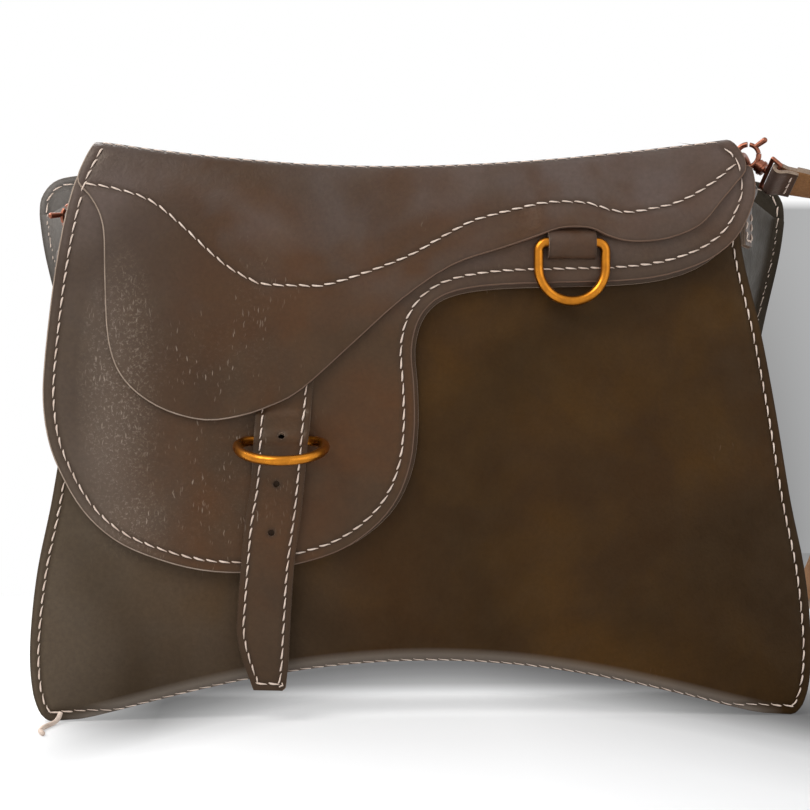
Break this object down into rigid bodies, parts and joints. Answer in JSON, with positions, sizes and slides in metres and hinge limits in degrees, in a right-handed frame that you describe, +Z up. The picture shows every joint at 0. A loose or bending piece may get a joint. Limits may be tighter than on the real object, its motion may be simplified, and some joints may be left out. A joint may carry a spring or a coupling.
{
  "type": "saddle handbag",
  "caption": "Soft leather saddle handbag with a curved fold-over flap, a closing strap through a ring, front D-ring and a clip-on shoulder strap.",
  "frame": {"origin": "on the surface the bag stands on, under the middle of the bag's box measured without the shoulder strap and its clips", "axes": "+Z up, the flap's front faces -Y, +X to the viewer's right"},
  "size_m": [0.3476, 0.2425, 0.23],
  "materials": {
    "grain_leather": "waxed pull-up grain, satin",
    "dark_leather": "dark oiled grain, satin",
    "flesh_leather": "undyed flesh side, matt",
    "brass": "worn satin",
    "copper": "antique copper plate, satin",
    "steel": "satin",
    "thread": "waxed linen"
  },
  "bodies": {
    "bag": {"front_panel": "grain_leather", "back_panel": "dark_leather", "gusset_left": "dark_leather", "gusset_right": "dark_leather", "gusset_bottom": "dark_leather", "side_tab_left": "grain_leather", "side_tab_right": "grain_leather", "snap_body_disc": "steel", "snap_washer": "steel", "swivel_eye_left": "copper", "swivel_eye_right": "copper", "strap_end_left": "grain_leather", "strap_end_right": "grain_leather", "shoulder_strap": "flesh_leather", "thread_tail": "thread"},
    "spine": {"flap_spine": "grain_leather"},
    "flap": {"flap": "grain_leather", "flap_lining": "flesh_leather", "seat_skirt": "grain_leather", "closing_strap": "grain_leather", "closing_strap_lining": "flesh_leather", "closure_chape": "dark_leather", "front_ring_tab": "grain_leather", "snap_flap_disc": "steel"},
    "closure_ring": {"closure_ring": "brass"},
    "front_ring": {"front_ring": "brass"},
    "side_ring_left": {"side_ring_left": "copper"},
    "hook_left": {"hook_left": "copper"},
    "gate_left": {"hook_gate_left": "copper"},
    "side_ring_right": {"side_ring_right": "copper"},
    "hook_right": {"hook_right": "copper"},
    "gate_right": {"hook_gate_right": "copper"}
  },
  "joints": [
    {"name": "spine_fold", "type": "hinge", "parent": "bag", "child": "spine", "pos_m": [0, 0.04922, 0.2246], "axis": [-1, 0, 0], "range_deg": [0, 100]},
    {"name": "flap_fold", "type": "hinge", "parent": "spine", "child": "flap", "pos_m": [0, -0.01708, 0.2246], "axis": [-1, 0, 0], "range_deg": [0, 120]},
    {"name": "closure_ring_swing", "type": "hinge", "parent": "flap", "child": "closure_ring", "pos_m": [-0.05587, -0.02436, 0.1088], "axis": [1, 0, 0], "range_deg": [-75, 60]},
    {"name": "front_ring_swing", "type": "hinge", "parent": "flap", "child": "front_ring", "pos_m": [0.05649, -0.02436, 0.18552], "axis": [-1, 0, 0], "range_deg": [0, 115]},
    {"name": "side_ring_left_swing", "type": "hinge", "parent": "bag", "child": "side_ring_left", "pos_m": [-0.1319, -0.00012, 0.21], "axis": [-0.4489, 0.8936, 0], "range_deg": [-3, 3]},
    {"name": "hook_left_turn", "type": "hinge", "parent": "bag", "child": "hook_left", "pos_m": [-0.13788, -0.00313, 0.19649], "axis": [0.1244, 0.0625, 0.9903], "range_deg": [-15, 15]},
    {"name": "gate_left_open", "type": "hinge", "parent": "hook_left", "child": "gate_left", "pos_m": [-0.14144, -0.00492, 0.19419], "axis": [-0.4489, 0.8936, 0], "range_deg": [0, 15], "stiffness_Nm_per_rad": 0.002, "springref_deg": -11.46},
    {"name": "side_ring_right_swing", "type": "hinge", "parent": "bag", "child": "side_ring_right", "pos_m": [0.1319, -0.00012, 0.21], "axis": [0.4489, 0.8936, 0], "range_deg": [-3, 3]},
    {"name": "hook_right_turn", "type": "hinge", "parent": "bag", "child": "hook_right", "pos_m": [0.13121, 0.00022, 0.22295], "axis": [-0.6641, 0.3336, 0.6691], "range_deg": [-15, 15]},
    {"name": "gate_right_open", "type": "hinge", "parent": "hook_right", "child": "gate_right", "pos_m": [0.13526, -0.00181, 0.22375], "axis": [-0.4489, -0.8936, 0], "range_deg": [0, 15], "stiffness_Nm_per_rad": 0.002, "springref_deg": -11.46}
  ]
}
